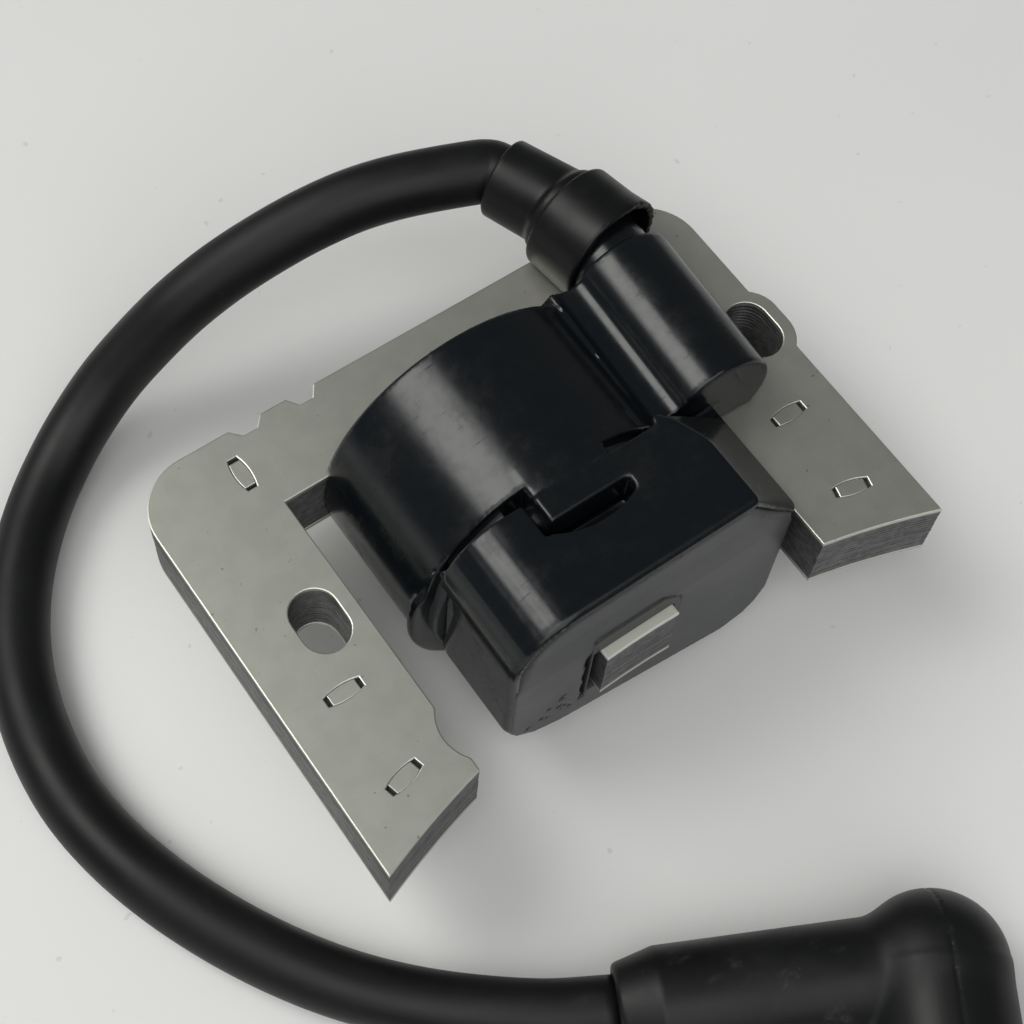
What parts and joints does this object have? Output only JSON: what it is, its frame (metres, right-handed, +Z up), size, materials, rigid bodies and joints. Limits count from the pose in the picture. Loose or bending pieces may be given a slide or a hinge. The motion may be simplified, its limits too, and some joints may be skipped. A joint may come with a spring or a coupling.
{
  "type": "ignition coil",
  "caption": "Small-engine ignition coil: laminated E core, potted black coil block on the middle leg, high-tension lead and right-angle spark plug boot.",
  "frame": {"origin": "centre of the box around the core and coil block, without the lead, on the surface that the coil lies on", "axes": "+Z up out of the core's top face, +X across the three legs towards the tower, +Y from the pole faces to the core's back edge"},
  "size_m": [0.1087, 0.1519, 0.0394],
  "materials": {
    "zinc_sheet": "dull grey zinc-coated electrical sheet with light scratches and burred edges",
    "stack_sheet": "stacked grey sheet edges, varnished",
    "case_black": "glossy black moulded plastic",
    "potting_black": "semi-gloss black cast epoxy with pits",
    "bobbin_nylon": "dark glass-filled nylon",
    "reel_nylon": "natural nylon",
    "copper_wire": "enamelled copper wire",
    "film": "amber insulating film and capacitor dip",
    "board_green": "glass-fibre circuit board",
    "chip_black": "moulded component case",
    "resistor_tan": "painted ceramic body",
    "tinned": "tinned spring brass",
    "cap_rubber": "matt black rubber",
    "lead_rubber": "satin black silicone jacket",
    "boot_rubber": "matt black rubber with dusty scuffs"
  },
  "bodies": {
    "root": {"core_top_sheet": "zinc_sheet", "core_stack": "stack_sheet", "core_bottom_sheet": "zinc_sheet", "coil_case": "case_black", "potting": "potting_black", "core_bobbin": "bobbin_nylon", "primary_winding": "copper_wire", "charge_winding": "copper_wire", "trigger_winding": "copper_wire", "insulation_sleeve": "film", "secondary_bobbin": "reel_nylon", "secondary_winding": "copper_wire", "circuit_board": "board_green", "capacitor": "film", "thyristor": "chip_black", "rectifier_diode": "chip_black", "resistor": "resistor_tan", "board_pins": "tinned", "ground_strap": "tinned", "ht_pin": "tinned", "ht_link_wire": "copper_wire", "lead_cap": "cap_rubber", "lead_end_in_tower": "lead_rubber", "strands_in_tower": "copper_wire", "lead_jacket": "lead_rubber", "lead_end_in_boot": "lead_rubber", "strands_in_boot": "copper_wire", "plug_boot": "boot_rubber", "plug_clip": "tinned"}
  },
  "joints": []
}
